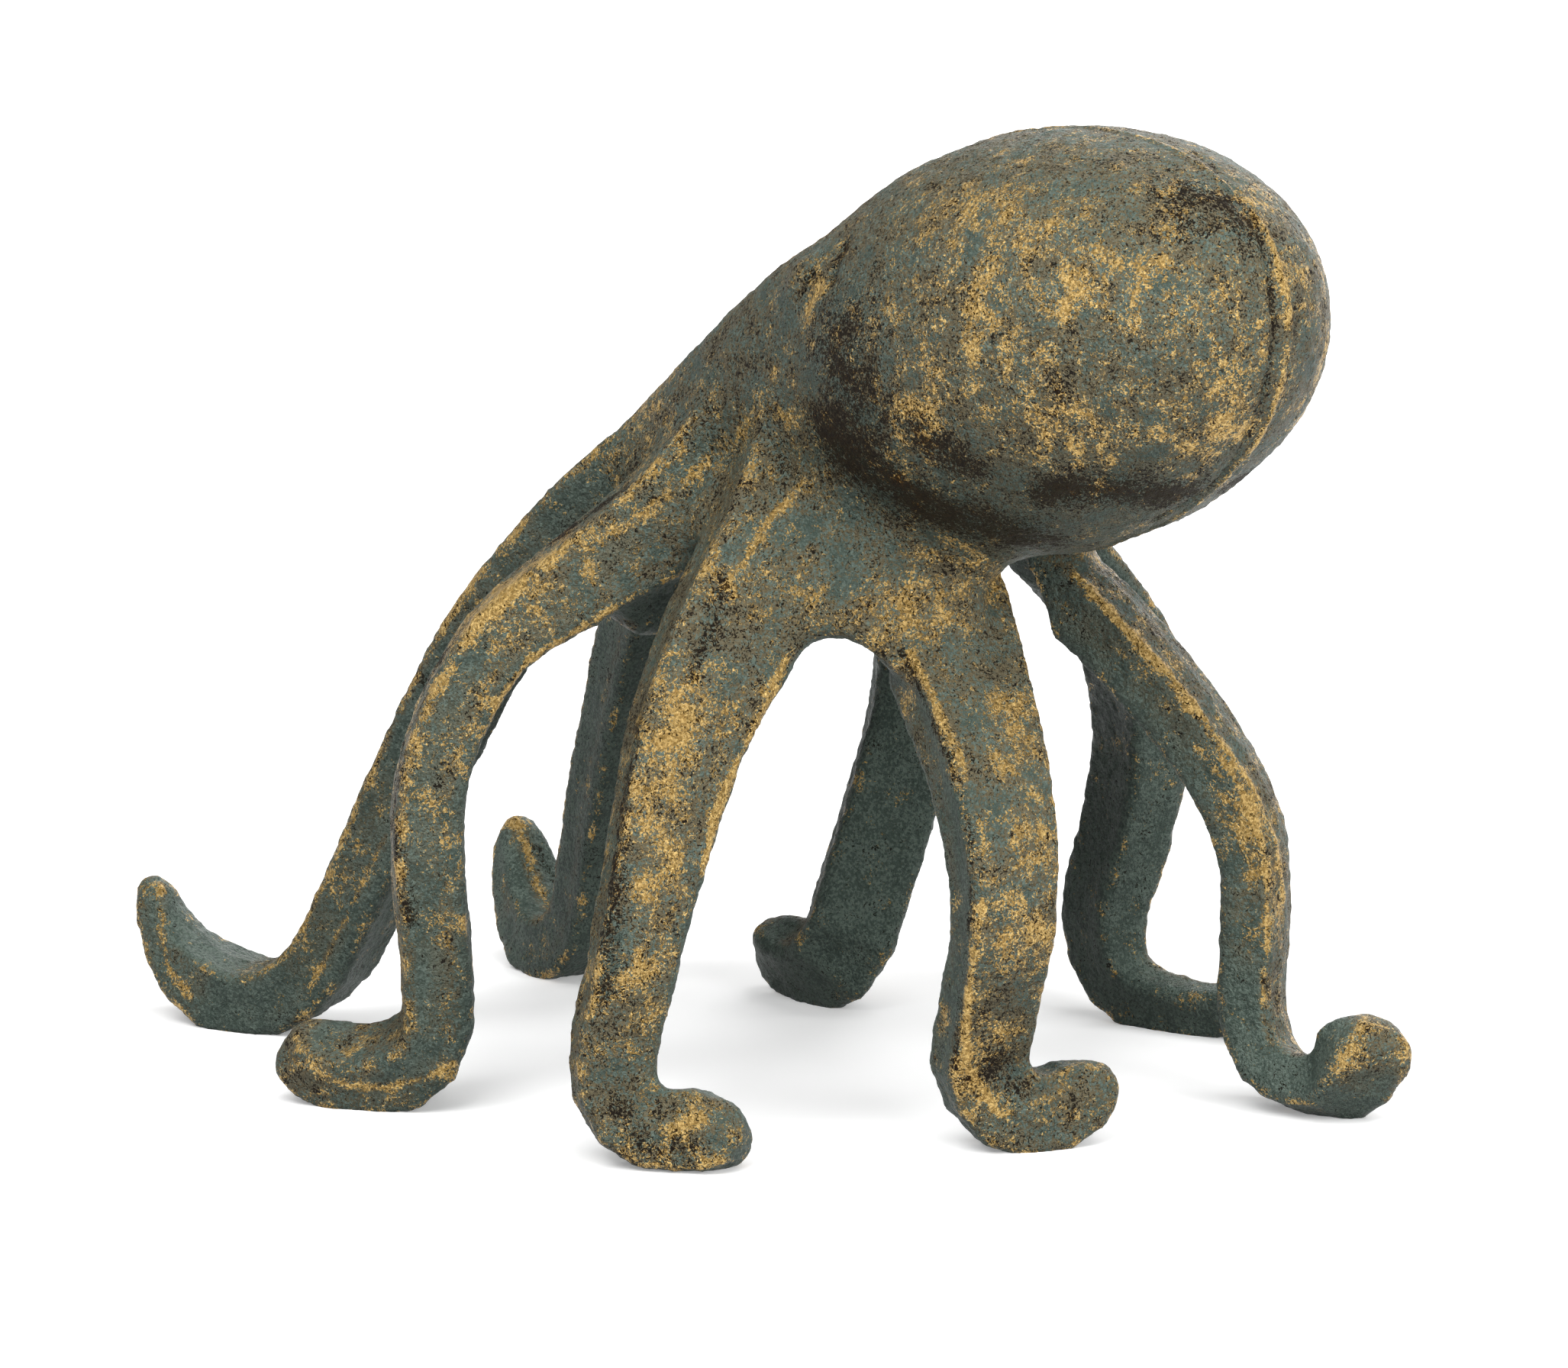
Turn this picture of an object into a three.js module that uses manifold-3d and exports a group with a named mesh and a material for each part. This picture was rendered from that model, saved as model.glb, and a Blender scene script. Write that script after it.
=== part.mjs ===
// Cast iron octopus holder, standing on eight arms.
// Millimetres, +Z up. The octopus faces -Y: a phone or card stands in the two front hooks and leans
// back on the sloping brow. Its left side is +X. Sizes are measured from the web's axis and the floor,
// and the finished group is moved so that its origin is the middle of the floor that it covers.
import * as THREE from 'three';
import { mergeVertices } from 'three/addons/utils/BufferGeometryUtils.js';
import Module from 'manifold-3d';

// Mantle: an egg tilted up towards the rear, cast hollow through a core hole in its belly
const MANTLE_LENGTH = 78.8;
const MANTLE_WIDTH = 57;
const MANTLE_HEIGHT = 53;
const MANTLE_TILT = 16;
const MANTLE_CENTRE_Y = 30.6;
const MANTLE_CENTRE_Z = 100.6;
const MANTLE_WALL = 5;
const CORE_HOLE_DIAMETER = 16;
const CORE_HOLE_Y = 10.5;

// Web: the umbrella that the arms grow from, open below
const WEB_RADIUS = 31.5;
const WEB_RIM_HEIGHT = 60;
const WEB_TOP_HEIGHT = 96;
const WEB_WALL = 6.5;
const WEB_FULLNESS = 0.74;
const ARCH_RISE = 16;

// Arches cut in the web between two arms: the bearing they open towards, their height and their width
const ARCHES = [
  { bearing: -90, height: 77, width: 12 },
  { bearing: -55, height: 79, width: 8 },
  { bearing: -14, height: 74.5, width: 18 },
  { bearing: 33, height: 65, width: 20 },
  { bearing: 95, height: 80.5, width: 25 },
  { bearing: 151, height: 67, width: 25 },
  { bearing: 193, height: 72.5, width: 20 },
  { bearing: 235, height: 79, width: 8 },
];

// Brow: the straight slope from the mantle down to the two front arms
const BROW_FRONT_Y = -28;
const BROW_FRONT_HEIGHT = 87;
const BROW_SLOPE = 37.5;
const BROW_SLOPE_Y = -17;
const BROW_SLOPE_HEIGHT = 97.7;
const BROW_CREST_Y = 0;
const BROW_REAR_Y = 15;
const BROW_REAR_HEIGHT = 116.5;
const BROW_FRONT_WIDTH = 30;
const BROW_REAR_WIDTH = 42;
const BROW_SPREAD = 0.2;
const BROW_FRONT_DEPTH = 9;
const BROW_REAR_DEPTH = 31;
const BROW_EDGE_RADIUS = 8;

// Eyes: long lids on the mantle beside the neck, ahead of its middle and up from its widest line
const EYE_LENGTH = 12;
const EYE_WIDTH = 5;
const EYE_HEIGHT = 5;
const EYE_AHEAD = 22;
const EYE_UP = 36;
const EYE_LEAN = 52;

// Arms: rounded bars, flared where they leave the web and rounded at the toe
const ARM_WIDTH = 11.5;
const ARM_THICKNESS = 8;
const ARM_EDGE_RADIUS = 1.1;
const ARM_CROWN = 0.6;
const TOE_ROUNDING = 4.5;
const FLARE_END = 0.75;
const SHIN = 0.6;
const TAPER_START = 0.86;
const SOLE_CUT = 0.8;
const FLOOR_BLOCK = 400;
const CLEARANCE = 0.3;

// Each arm leaves the web along its bearing, seen from above in degrees from +X towards +Y.
// A stop on the shank is its reach from the middle of the web, its height and, where it leaves the
// bearing, how far it lies to the left of it. A stop on the toe is its run from the ankle in the toe's
// own direction and its height. The face is the way the broad outer side looks at the shin. Size is the
// section's share of the common one, flare and depth are how much wider and thicker it is at the root,
// and tip is the part of it that is left at the toe's end. An arm may end its flare, or start its taper,
// at a share of its length of its own.
const ARMS = [
  {
    name: 'arm_front_left', bearing: -72.4, face: -72, size: 1, flare: 0.3, depth: 0.3, tip: 0.45,
    shank: [[14, 92], [26, 83], [40, 71.3], [53, 56.8], [63.5, 39], [72.7, 21], [78, 12.5]],
    toeTurn: -73, toe: [[8, 8], [15, 9], [21.5, 13.5], [25.5, 21.5]],
  },
  {
    name: 'arm_side_front_left', bearing: -38, face: -47, size: 1.01, flare: 0.25, depth: 0.85, tip: 0.82,
    flareEnd: 0.45,
    shank: [[12, 90], [24, 77], [36, 68.8], [48, 60.3], [55.5, 46], [56.5, 32], [55.5, 19], [56, 11.5]],
    toeTurn: -61, toe: [[4, 7.5], [10, 6.2], [15, 7.6], [18, 11]],
  },
  {
    name: 'arm_side_rear_left', bearing: 6.5, face: 55, size: 0.83, flare: 0.9, depth: 0.5, tip: 1,
    shank: [[12, 86, 1], [21, 74, 1], [31.5, 64, 0.8], [39, 54], [44.7, 42], [49.3, 28, -0.8],
      [51.1, 15, -2.8]],
    toeTurn: 120, toe: [[1, 9], [4, 6.4], [9, 5.8], [13, 6.4], [15.5, 8.4]],
  },
  {
    name: 'arm_rear_left', bearing: 65, face: 67, size: 0.9, flare: 0.6, depth: 0.3, tip: 0.8,
    shank: [[10, 82], [17.5, 72], [25, 63], [34.5, 53], [41, 42], [42, 31], [38, 20], [35.5, 12]],
    toeTurn: 148, toe: [[3, 7], [7, 5.5], [11, 6.5], [14, 9], [15, 11]],
  },
  {
    name: 'arm_rear_right', bearing: 123, face: 112, size: 0.76, flare: 0.15, depth: 0.35, tip: 1.2,
    shank: [[10, 79.5], [24, 68], [36, 56.2], [44.8, 45], [49.2, 35.5], [49.8, 25], [49.5, 14]],
    toeTurn: 92, toe: [[3, 8], [8, 6], [13.5, 6.5], [17.5, 11], [19, 15.5]],
  },
  {
    name: 'arm_side_rear_right', bearing: 177, face: 160, size: 0.92, flare: 0.6, depth: 0.4, tip: 0.52,
    tipFrom: 0.66,
    shank: [[12, 88], [24, 74], [36, 64], [47.8, 51], [52, 38, 1.3], [52, 26, 3.8], [50.2, 14, 6]],
    toeTurn: 95, toe: [[2, 7], [6, 4.3], [12, 3.6], [18, 4], [26, 5.5]],
  },
  {
    name: 'arm_side_front_right', bearing: 214, face: 224, size: 0.97, flare: 0.2, depth: 1, tip: 0.8,
    flareEnd: 0.45,
    shank: [[12, 90], [24, 78], [38, 67], [50, 54], [54, 42, 0.5], [51, 28, 3.5], [46, 17, 6.5],
      [43, 10, 8.5]],
    toeTurn: 262, toe: [[4, 6.5], [9, 5.6], [13, 6.5], [16.5, 8.5]],
  },
  {
    name: 'arm_front_right', bearing: 252.4, face: 252, size: 0.97, flare: 0.3, depth: 0.3, tip: 0.5,
    shank: [[14, 93], [26, 84], [40, 71.5], [52, 56.5], [60.5, 39], [67.2, 21], [70.4, 11]],
    toeTurn: 254, toe: [[7.5, 6.5], [13.5, 8], [18.5, 13.5], [20.5, 21]],
  },
];

// Fineness of the facets
const ARM_RINGS = 30;
const CAP_RINGS = 4;
const CAP_TURN = 84;
const CORNER_STEPS = 2;
const ROUND_STEPS = 32;
const BROW_RINGS = 8;
const DROP_PASSES = 3;
const MERGE_DISTANCE = 0.0001;

// Finish
const VERDIGRIS = 0x5d6f63;
const GOLD_RUB = 0x9b8147;
const ROUGHNESS = 0.6;
const METALNESS = 0.6;

const wasm = await Module();
wasm.setup();

const rad = THREE.MathUtils.degToRad;
const smooth = (value) => THREE.MathUtils.smoothstep(value, 0, 1);
const compass = (bearing) => new THREE.Vector3(Math.cos(rad(bearing)), Math.sin(rad(bearing)), 0);

// A closed geometry as a solid that can be joined and cut
function solid(geometry) {
  const bare = geometry.clone();
  bare.deleteAttribute('normal');
  bare.deleteAttribute('uv');
  const merged = mergeVertices(bare, MERGE_DISTANCE);
  const triVerts = [];
  for (let i = 0; i < merged.index.count; i += 3) {
    const [a, b, c] = [0, 1, 2].map((k) => merged.index.getX(i + k));
    if (a !== b && b !== c && c !== a) triVerts.push(a, b, c);
  }
  return new wasm.Manifold(new wasm.Mesh({
    numProp: 3,
    vertProperties: merged.attributes.position.array,
    triVerts: new Uint32Array(triVerts),
  }));
}

// The largest body of a solid, as a geometry with its own facets
function geometryOf(body) {
  const bodies = body.decompose();
  const largest = bodies.reduce((best, each) => (each.volume() > best.volume() ? each : best));
  const { vertProperties, triVerts } = largest.getMesh();
  const geometry = new THREE.BufferGeometry();
  geometry.setAttribute('position', new THREE.BufferAttribute(vertProperties, 3));
  geometry.setIndex(new THREE.BufferAttribute(triVerts, 1));
  const faceted = geometry.toNonIndexed();
  faceted.computeVertexNormals();
  return faceted;
}

// A skin through rings of equal count, closed at both ends on the middle of the end ring
function loft(rings) {
  const count = rings[0].length;
  const middle = (ring) => ring.reduce((sum, p) => sum.add(p), new THREE.Vector3()).divideScalar(count);
  const points = [...rings.flat(), middle(rings[0]), middle(rings[rings.length - 1])];
  const first = points.length - 2;
  const last = points.length - 1;
  const lastRing = (rings.length - 1) * count;
  const index = [];
  for (let k = 0; k < count; k += 1) {
    const next = (k + 1) % count;
    for (let r = 0; r < rings.length - 1; r += 1) {
      const low = r * count;
      const high = low + count;
      index.push(low + k, low + next, high + next, low + k, high + next, high + k);
    }
    index.push(first, next, k, last, lastRing + k, lastRing + next);
  }
  const geometry = new THREE.BufferGeometry().setFromPoints(points);
  geometry.setIndex(index);
  return geometry;
}

// A rounded bar section in its own plane, with the outer side at +Y raised by a crown
function barSection(width, thickness, radius, crown) {
  const round = Math.min(radius, width / 3, thickness / 3);
  const points = [];
  const corners = [[1, 1, 0], [-1, 1, 90], [-1, -1, 180], [1, -1, 270]];
  corners.forEach(([sideX, sideY, start]) => {
    for (let step = 0; step <= CORNER_STEPS; step += 1) {
      const turn = rad(start + (90 * step) / CORNER_STEPS);
      points.push(new THREE.Vector2(
        sideX * (width / 2 - round) + round * Math.cos(turn),
        sideY * (thickness / 2 - round) + round * Math.sin(turn),
      ));
    }
    if (start === 0) points.push(new THREE.Vector2(0, thickness / 2 + crown));
  });
  return points;
}

// How the mantle is turned and placed
function mantlePlace() {
  const tilt = new THREE.Matrix4().makeRotationX(rad(MANTLE_TILT));
  return tilt.setPosition(0, MANTLE_CENTRE_Y, MANTLE_CENTRE_Z);
}

// An egg placed as the mantle is, larger all round by grow
function mantleEgg(grow) {
  const egg = new THREE.SphereGeometry(1, ROUND_STEPS, ROUND_STEPS / 2);
  egg.scale(MANTLE_WIDTH / 2 + grow, MANTLE_LENGTH / 2 + grow, MANTLE_HEIGHT / 2 + grow);
  return solid(egg.applyMatrix4(mantlePlace()));
}

// The sand core that left the mantle hollow, with its print down through the web
function mantleCore() {
  const radius = CORE_HOLE_DIAMETER / 2;
  const print = new THREE.CylinderGeometry(radius, radius, MANTLE_CENTRE_Z, ROUND_STEPS / 2);
  print.rotateX(Math.PI / 2);
  print.translate(0, CORE_HOLE_Y, MANTLE_CENTRE_Z / 2);
  return mantleEgg(-MANTLE_WALL).add(solid(print));
}

// A solid umbrella of the web's outer shape, smaller all round by inset, open part filled down to a height
function umbrella(inset, bottom) {
  const radius = WEB_RADIUS - inset;
  const rise = WEB_TOP_HEIGHT - WEB_RIM_HEIGHT - inset;
  const profile = [new THREE.Vector2(0, bottom), new THREE.Vector2(radius, bottom)];
  for (let step = 0; step < ROUND_STEPS / 2; step += 1) {
    const out = Math.cos((Math.PI / 2) * (step / (ROUND_STEPS / 2)));
    const height = WEB_RIM_HEIGHT + rise * (1 - out * out) ** WEB_FULLNESS;
    profile.push(new THREE.Vector2(radius * out, height));
  }
  profile.push(new THREE.Vector2(0, WEB_RIM_HEIGHT + rise));
  const turned = new THREE.LatheGeometry(profile, ROUND_STEPS);
  turned.rotateX(Math.PI / 2);
  return solid(turned);
}

// The arches between the arms, larger all round by grow
function archCutters(grow) {
  return ARCHES.map((arch) => {
    const cutter = new THREE.CylinderGeometry(1, 1, WEB_RADIUS, ROUND_STEPS / 2);
    cutter.rotateZ(Math.PI / 2);
    cutter.scale(1, arch.width / 2 + grow, ARCH_RISE + grow);
    cutter.translate(WEB_RADIUS, 0, arch.height - ARCH_RISE);
    cutter.rotateZ(rad(arch.bearing));
    return solid(cutter);
  }).reduce((all, each) => all.add(each));
}

// The brow, larger all round by grow
function brow(grow) {
  const slope = Math.tan(rad(BROW_SLOPE));
  const ridge = new THREE.CatmullRomCurve3([
    new THREE.Vector3(0, BROW_FRONT_Y, BROW_FRONT_HEIGHT),
    new THREE.Vector3(0, BROW_SLOPE_Y, BROW_SLOPE_HEIGHT),
    new THREE.Vector3(0, BROW_CREST_Y, BROW_SLOPE_HEIGHT + slope * (BROW_CREST_Y - BROW_SLOPE_Y)),
    new THREE.Vector3(0, BROW_REAR_Y, BROW_REAR_HEIGHT),
  ], false, 'centripetal');
  const rings = [];
  for (let ring = 0; ring <= BROW_RINGS; ring += 1) {
    const along = ring / BROW_RINGS;
    const top = ridge.getPoint(along);
    const depth = THREE.MathUtils.lerp(BROW_FRONT_DEPTH, BROW_REAR_DEPTH, Math.sqrt(along)) + 2 * grow;
    const width = THREE.MathUtils.lerp(BROW_FRONT_WIDTH, BROW_REAR_WIDTH, along) + 2 * grow;
    const end = (ring === BROW_RINGS) - (ring === 0);
    rings.push(barSection(width, depth, BROW_EDGE_RADIUS, 0).map((p) => new THREE.Vector3(
      -p.x * (1 + BROW_SPREAD * (0.5 - p.y / depth)),
      top.y + grow * end,
      top.z + grow - depth / 2 + p.y,
    )));
  }
  return solid(loft(rings));
}

// An eye lid on the mantle's skin, larger all round by grow, on the side +1 or -1
function eyeLid(side, grow) {
  const lid = new THREE.SphereGeometry(1, ROUND_STEPS / 2, ROUND_STEPS / 4);
  lid.scale(EYE_WIDTH / 2 + grow, EYE_LENGTH / 2 + grow, EYE_HEIGHT / 2 + grow);
  lid.rotateX(rad(EYE_LEAN));
  const girth = Math.sqrt(1 - (EYE_AHEAD / (MANTLE_LENGTH / 2)) ** 2);
  const skin = new THREE.Vector3(
    side * (MANTLE_WIDTH / 2) * girth * Math.cos(rad(EYE_UP)),
    -EYE_AHEAD,
    (MANTLE_HEIGHT / 2) * girth * Math.sin(rad(EYE_UP)),
  ).applyMatrix4(mantlePlace());
  lid.translate(skin.x, skin.y, skin.z);
  return solid(lid);
}

// The middle line of an arm, with its foot let down by a drop that fades out at the root
function armLine(arm, drop) {
  const out = compass(arm.bearing);
  const ahead = compass(arm.toeTurn);
  const rootHeight = arm.shank[0][1];
  const left = new THREE.Vector3(-out.y, out.x, 0);
  const place = (from, way, [run, height, side = 0]) => from.clone().addScaledVector(way, run)
    .addScaledVector(left, side).setZ(height - drop * (1 - height / rootHeight));
  const shank = arm.shank.map((stop) => place(new THREE.Vector3(), out, stop));
  const ankle = shank[shank.length - 1];
  const toe = arm.toe.map((stop) => place(ankle, ahead, stop));
  return new THREE.CatmullRomCurve3([...shank, ...toe], false, 'centripetal');
}

// Rings of the bar section along an arm's middle line, flared at the root, rounded at the toe and larger
// all round by grow. The outer side is turned to the arm's face at the shin and carried without twist.
function armRings(arm, drop, grow) {
  const line = armLine(arm, drop);
  const capStart = 1 - TOE_ROUNDING / line.getLength();
  const stops = [];
  for (let ring = 0; ring <= ARM_RINGS; ring += 1) stops.push([capStart * (ring / ARM_RINGS), 1]);
  for (let ring = 1; ring <= CAP_RINGS; ring += 1) {
    const turn = rad((CAP_TURN * ring) / CAP_RINGS);
    stops.push([capStart + (1 - capStart) * Math.sin(turn), Math.cos(turn)]);
  }
  const ways = stops.map(([along]) => line.getTangentAt(along));
  const square = (side, ahead) => side.clone().addScaledVector(ahead, -side.dot(ahead)).normalize();
  const shin = Math.round(ARM_RINGS * SHIN);
  const outers = [];
  outers[shin] = square(compass(arm.face), ways[shin]);
  for (let ring = shin + 1; ring < stops.length; ring += 1) {
    outers[ring] = square(outers[ring - 1], ways[ring]);
  }
  for (let ring = shin - 1; ring >= 0; ring -= 1) {
    outers[ring] = square(outers[ring + 1], ways[ring]);
  }
  return stops.map(([along, scale], ring) => {
    const centre = line.getPointAt(along);
    const across = ways[ring].clone().cross(outers[ring]);
    const root = 1 - smooth(along / (arm.flareEnd ?? FLARE_END));
    const tipFrom = arm.tipFrom ?? TAPER_START;
    const taper = scale * THREE.MathUtils.lerp(1, arm.tip, smooth((along - tipFrom) / (1 - tipFrom)));
    const width = ARM_WIDTH * arm.size * (1 + arm.flare * root) * taper + 2 * grow;
    const thickness = ARM_THICKNESS * arm.size * (1 + arm.depth * root) * taper + 2 * grow;
    return barSection(width, thickness, ARM_EDGE_RADIUS, ARM_CROWN * taper).map((p) => centre.clone()
      .addScaledVector(across, -p.x)
      .addScaledVector(outers[ring], p.y));
  });
}

// How far an arm's foot is let down for its sole to be cut by the floor
function footDrop(arm) {
  let drop = 0;
  for (let pass = 0; pass < DROP_PASSES; pass += 1) {
    const lowest = Math.min(...armRings(arm, drop, 0).flat().map((p) => p.z));
    drop += lowest + SOLE_CUT;
  }
  return drop;
}

function mesh(name, body, colour) {
  const material = new THREE.MeshStandardMaterial({
    color: colour,
    roughness: ROUGHNESS,
    metalness: METALNESS,
  });
  const piece = new THREE.Mesh(geometryOf(body), material);
  piece.name = name;
  return piece;
}

const sides = [['left', 1], ['right', -1]];
const core = mantleCore();
let mantle = mantleEgg(0).subtract(core);
const vault = umbrella(WEB_WALL, 0);
let head = umbrella(0, WEB_RIM_HEIGHT).subtract(archCutters(0)).add(brow(0));
head = head.subtract(vault).subtract(mantleEgg(CLEARANCE)).subtract(core);
sides.forEach(([, side]) => {
  const socket = eyeLid(side, CLEARANCE);
  mantle = mantle.subtract(socket);
  head = head.subtract(socket);
});

// What an arm is cut by: the floor, its seat on the web, brow and mantle, and the arms before it
const floorBlock = new THREE.BoxGeometry(FLOOR_BLOCK, FLOOR_BLOCK, FLOOR_BLOCK);
floorBlock.translate(0, 0, -FLOOR_BLOCK / 2);
let seat = umbrella(-CLEARANCE, WEB_RIM_HEIGHT - CLEARANCE).subtract(archCutters(-CLEARANCE));
seat = seat.add(vault).add(brow(CLEARANCE)).add(mantleEgg(CLEARANCE));
let taken = seat.add(solid(floorBlock));

const octopus = new THREE.Group();
octopus.add(mesh('mantle', mantle, VERDIGRIS));
octopus.add(mesh('head', head, VERDIGRIS));
sides.forEach(([label, side]) => octopus.add(mesh(`eye_${label}`, eyeLid(side, 0), GOLD_RUB)));
ARMS.forEach((arm) => {
  const drop = footDrop(arm);
  octopus.add(mesh(arm.name, solid(loft(armRings(arm, drop, 0))).subtract(taken), VERDIGRIS));
  taken = taken.add(solid(loft(armRings(arm, drop, CLEARANCE))));
});

const box = new THREE.Box3().setFromObject(octopus);
const middle = box.getCenter(new THREE.Vector3());
octopus.position.set(-middle.x, -middle.y, -box.min.z);

export default octopus;
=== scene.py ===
"""Looks of a cast iron octopus holder: a grainy casting, painted green, washed dark and rubbed with gold,
with shade painted into its hollows, creases and underside.
"""

import math
from collections import namedtuple

import bmesh
import bpy
import numpy as np
import openvdb
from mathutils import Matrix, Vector
from mathutils.bvhtree import BVHTree


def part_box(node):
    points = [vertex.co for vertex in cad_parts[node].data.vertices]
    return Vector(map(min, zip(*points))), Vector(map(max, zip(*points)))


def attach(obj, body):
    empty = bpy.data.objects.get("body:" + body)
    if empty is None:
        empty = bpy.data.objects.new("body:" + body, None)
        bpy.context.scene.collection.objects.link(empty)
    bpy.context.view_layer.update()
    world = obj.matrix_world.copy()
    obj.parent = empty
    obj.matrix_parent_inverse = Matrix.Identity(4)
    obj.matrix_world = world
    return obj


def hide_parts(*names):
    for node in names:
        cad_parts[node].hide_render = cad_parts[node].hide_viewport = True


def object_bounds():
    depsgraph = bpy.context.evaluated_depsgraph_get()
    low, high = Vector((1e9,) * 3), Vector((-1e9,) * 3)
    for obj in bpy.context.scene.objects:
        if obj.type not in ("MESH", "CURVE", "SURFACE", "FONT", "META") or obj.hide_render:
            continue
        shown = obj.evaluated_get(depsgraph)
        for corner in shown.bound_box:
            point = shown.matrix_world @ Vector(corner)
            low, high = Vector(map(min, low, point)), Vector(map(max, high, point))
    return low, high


bl_info = {
    "name": "Cast Iron Octopus Holder",
    "version": (1, 0, 0),
    "blender": (4, 5, 0),
    "location": "View3D > Sidebar > Octopus",
    "description": "Dresses the octopus holder's frame with its cast and painted surface",
    "category": "Object",
}

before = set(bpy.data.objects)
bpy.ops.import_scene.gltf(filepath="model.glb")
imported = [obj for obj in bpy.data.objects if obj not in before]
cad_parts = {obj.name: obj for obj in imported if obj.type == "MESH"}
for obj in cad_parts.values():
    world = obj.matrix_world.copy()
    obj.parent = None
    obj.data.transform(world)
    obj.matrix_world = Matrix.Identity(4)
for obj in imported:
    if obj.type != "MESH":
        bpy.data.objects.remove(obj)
CAD_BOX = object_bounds()

MM = 0.001
BODY = "root"
SURFACE = "cast_surface"
EYES = ("eye_left", "eye_right")
ARMS = tuple(sorted(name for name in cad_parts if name.startswith("arm_")))
NODES = ("mantle", "head") + EYES + ARMS

# How much of the full smoothing each kind of node takes
SOFTNESS = {"mantle": 1.0, "head": 0.25, "eye": 0.15, "arm": 0.008}

# The two nodes that meet in a ring around the core hole
NECK = {"mantle": "head", "head": "mantle"}

# What the cast surface says of each of its points, for the finish
MARKS = ("ridge", "hollow", "shown", "rub", "wash")

# How far around a node its skin is looked for
REACH = 6.0 * MM

# Voxels past its reach to which a field of distances is held
FIELD_MARGIN = 3.0

# Passes that even out the lines along which the skin is cut into pieces
LABEL_PASSES = 12

# Passes that lead the softness of one node over into the next
SPREAD_PASSES = 6

# Softness from which a point is on the mantle, and below which its edges are drawn out
MANTLE_SOFTNESS = (0.9, 1.0)
EDGE_SOFTNESS = (0.4, 0.05)

# Passes that give the skin from which edges are drawn out, and passes that settle them, with their share
EDGE_PASSES = 14
SETTLE_PASSES = 2
SETTLE_SHARE = 0.5

# Passes that give the skin around a ridge or a hollow, and how far each stands out of it
RIDGE_PASSES = 12
RIDGE_HEIGHTS = (0.2 * MM, 0.4 * MM)
HOLLOW_PASSES = 60
HOLLOW_HEIGHTS = (-0.15 * MM, -1.2 * MM)

# Detail of the noise in the casting's relief
RELIEF_DETAIL = 2.0

# How far a face is turned to where the cloth reached it: outwards and a little up on the limbs, and up on
# the mantle, whose underside was still wiped a little
OUTWARD_RISE = 0.4
LIMB_TURN = (0.05, 0.45)
MANTLE_TURN = (-0.95, -0.25)
UNDERSIDE_WIPE = 0.55

# The photograph's frame, in pixels, and the lens that fits it
PHOTO_WIDTH = 2054
PHOTO_HEIGHT = 1792
FOCAL_PIXELS = 15225
SENSOR_WIDTH = 36.0

# How far the camera sees, and the sides of the round floor
CAMERA_REACH = 100.0
FLOOR_SIDES = 64

WHITE = (1.0, 1.0, 1.0, 1.0)
UP = (0.0, 0.0, 1.0)
ACROSS = (1.0, 0.0, 0.0)

# Takes the height out of a vector
LEVEL = (1.0, 1.0, 0.0)

# The lowest place that a point of the skin may take: on the floor, and as far out as it likes
LOWEST_PLACE = (-1.0, -1.0, 0.0)

# The soft lights: place and width in metres, and power in watts
Lamp = namedtuple("Lamp", "name place width power")
LAMPS = (
    Lamp("key_light", (1.0, 0.25, 1.25), 1.0, 20.5),
    Lamp("top_light", (-0.15, 0.55, 1.55), 1.2, 17.0),
    Lamp("fill_light", (0.34, 1.26, 0.5), 0.8, 14.0),
    Lamp("far_light", (-1.15, -0.5, 0.5), 1.0, 9.0),
)

# Noises of the finish: size of the lumps in millimetres, detail, the shift that parts one from another, how
# they are squeezed along each axis, and how far they are drawn out of their round shape
Noise = namedtuple("Noise", "size detail shift squeeze ragged", defaults=((1.0, 1.0, 1.0), 0.0))
FINE_NOISES = {
    "grain": Noise(0.5, 3.0, (0.0, 0.0, 0.0), ragged=1.5),
    "pits": Noise(0.5, 3.0, (3.1, 1.7, 0.5), ragged=1.5),
    "flecks": Noise(0.4, 2.0, (1.3, 4.2, 2.9)),
    "sand": Noise(0.95, 3.0, (5.2, 0.4, 3.3)),
}
BROAD_NOISES = {
    "clusters": Noise(3.0, 4.0, (0.0, 0.0, 0.0)),
    "patches": Noise(14.0, 3.0, (0.31, 0.62, 0.93)),
    "stains": Noise(11.0, 5.0, (0.73, 1.46, 2.19), squeeze=(1.0, 1.0, 2.0)),
    "tone": Noise(3.5, 4.0, (0.57, 1.14, 1.71)),
}

# How much the fine noises are enlarged, because the noise node's scale stops at 1 mm
FINE = 5.0

# How rough the noises are, and how far their values usually swing to either side of a half
NOISE_ROUGHNESS = 0.6
NOISE_SWING = 0.075

# Layers of the finish: how much each mark and noise counts, from which sum to which the layer sets in, and
# how strong it gets
Layer = namedtuple("Layer", "shares low high most", defaults=(1.0,))
# Dark wash together with painted shade: the strokes' dark and the hollows darken the colour through the tint
DARK_WASH_AND_SHADE = Layer({
    "wash": 3.6, "hollow": 1.1, "wiped": 0.9, "rub": -0.9, "stains": 0.3, "tone": 0.5, "pits": 1.2,
}, 1.75, 3.5)
RUBBED_GOLD = Layer({
    "grain": 0.72, "clusters": 0.58, "patches": 0.35, "shown": 1.1, "rub": 2.8, "ridge": 1.4, "hollow": -0.8,
    "wash_and_shade_cover": -0.6,
}, 2.06, 2.5)
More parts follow.
